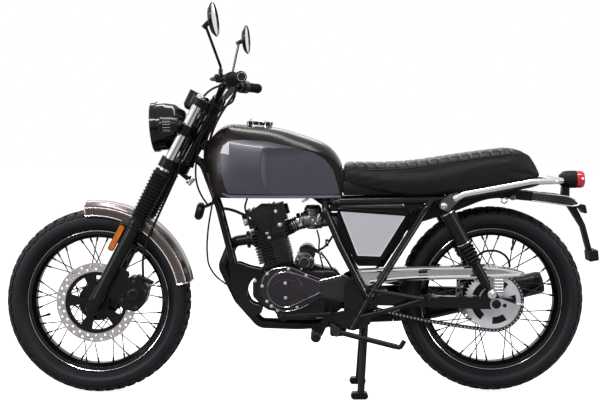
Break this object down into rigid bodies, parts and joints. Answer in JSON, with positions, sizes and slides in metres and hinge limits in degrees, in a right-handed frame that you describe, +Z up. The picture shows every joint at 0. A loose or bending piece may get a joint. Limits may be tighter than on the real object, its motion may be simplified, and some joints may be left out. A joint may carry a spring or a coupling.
{
  "type": "retro roadster motorcycle",
  "caption": "Single-cylinder retro roadster motorcycle with wire wheels, gaitered fork, ribbed long seat, twin rear shocks and steering, wheels and stands that move.",
  "frame": {"origin": "on the floor, at the middle of the motorcycle's length and width", "axes": "+X towards the rear wheel, -Y towards the rider's left, +Z up"},
  "size_m": [2.0266, 0.8032, 1.2982],
  "materials": {
    "airbox_plastic": "black",
    "amber_plastic": "amber",
    "axle_steel": "plated steel",
    "bar_black": "gloss black",
    "bezel_chrome": "dark chrome",
    "caliper_black": "gloss black",
    "cap_chrome": "bright chrome",
    "carburettor_metal": "cast",
    "case_black": "satin black",
    "chain_steel": "oiled steel",
    "clamp_black": "satin black",
    "clear_glass": "clear",
    "control_plastic": "black",
    "control_steel": "satin black",
    "cover_black": "satin black",
    "cylinder_black": "satin black",
    "disc_steel": "ground steel",
    "exhaust_black": "satin black",
    "fender_plastic": "black",
    "fender_silver": "warm silver metallic",
    "fork_black": "satin black",
    "frame_black": "gloss black",
    "gaiter_rubber": "matt black",
    "gauge_black": "black",
    "grip_rubber": "matt black",
    "guard_chrome": "bright chrome",
    "horn_black": "satin black",
    "hose_rubber": "black",
    "hub_black": "satin black",
    "insert_silver": "silver metallic",
    "lamp_black": "gloss black",
    "lever_black": "black coated",
    "mirror_black": "gloss black",
    "panel_black": "gloss black",
    "red_plastic": "red",
    "rim_black": "gloss black",
    "seat_vinyl": "black vinyl",
    "shock_black": "gloss black",
    "spoke_steel": "dark steel",
    "sprocket_steel": "bright plated steel",
    "stanchion_chrome": "hard chrome",
    "stand_black": "satin black",
    "tank_black": "deep gloss black",
    "tyre_rubber": "matt black rubber"
  },
  "bodies": {
    "chassis": {"frame": "frame_black", "swingarm": "frame_black", "shocks": "shock_black", "crankcase": "case_black", "cylinder": "cylinder_black", "engine_covers": "cover_black", "carburettor": "carburettor_metal", "airbox": "airbox_plastic", "exhaust": "exhaust_black", "fuel_tank": "tank_black", "fuel_cap": "cap_chrome", "seat": "seat_vinyl", "side_panels": "panel_black", "side_panel_inserts": "insert_silver", "rear_fender": "fender_plastic", "tail_lens": "red_plastic", "grab_rail": "guard_chrome", "rear_axle": "axle_steel", "chain": "chain_steel", "chain_guard": "guard_chrome", "foot_controls": "control_steel", "horn": "horn_black", "rear_brake_hose": "hose_rubber", "engine_cables": "hose_rubber"},
    "steering": {"fork_sliders": "fork_black", "fork_stanchions": "stanchion_chrome", "fork_gaiters": "gaiter_rubber", "steering_stem": "clamp_black", "upper_clamp": "clamp_black", "front_axle": "axle_steel", "handlebar": "bar_black", "grips": "grip_rubber", "bar_controls": "control_plastic", "control_levers": "lever_black", "mirrors": "mirror_black", "headlamp_shell": "lamp_black", "headlamp_bezel": "bezel_chrome", "front_glasses": "clear_glass", "headlamp_ears": "clamp_black", "amber_lenses": "amber_plastic", "gauge": "gauge_black", "front_fender": "fender_silver", "front_caliper": "caliper_black", "brake_hose": "hose_rubber"},
    "front_wheel": {"front_tyre": "tyre_rubber", "front_rim": "rim_black", "front_spokes": "spoke_steel", "front_hub": "hub_black", "front_disc": "disc_steel"},
    "rear_wheel": {"rear_tyre": "tyre_rubber", "rear_rim": "rim_black", "rear_spokes": "spoke_steel", "rear_hub": "hub_black", "rear_disc": "disc_steel", "rear_sprocket": "sprocket_steel"},
    "centre_stand": {"centre_stand": "stand_black"},
    "side_stand": {"side_stand": "stand_black"}
  },
  "joints": [
    {"name": "steering", "type": "hinge", "parent": "chassis", "child": "steering", "pos_m": [-0.35904, 0, 0.86899], "axis": [0.4664, 0, 0.8846], "range_deg": [-35, 35]},
    {"name": "front_wheel_spin", "type": "hinge", "parent": "steering", "child": "front_wheel", "pos_m": [-0.702, 0, 0.315], "axis": [0, 1, 0], "continuous": true},
    {"name": "rear_wheel_spin", "type": "hinge", "parent": "chassis", "child": "rear_wheel", "pos_m": [0.643, 0, 0.323], "axis": [0, 1, 0], "continuous": true},
    {"name": "centre_stand_fold", "type": "hinge", "parent": "chassis", "child": "centre_stand", "pos_m": [0.211, 0, 0.255], "axis": [0, -1, 0], "range_deg": [0, 80]},
    {"name": "side_stand_fold", "type": "hinge", "parent": "chassis", "child": "side_stand", "pos_m": [0.113, -0.146, 0.232], "axis": [0.0549, 0.9339, -0.3534], "range_deg": [0, 85]}
  ]
}
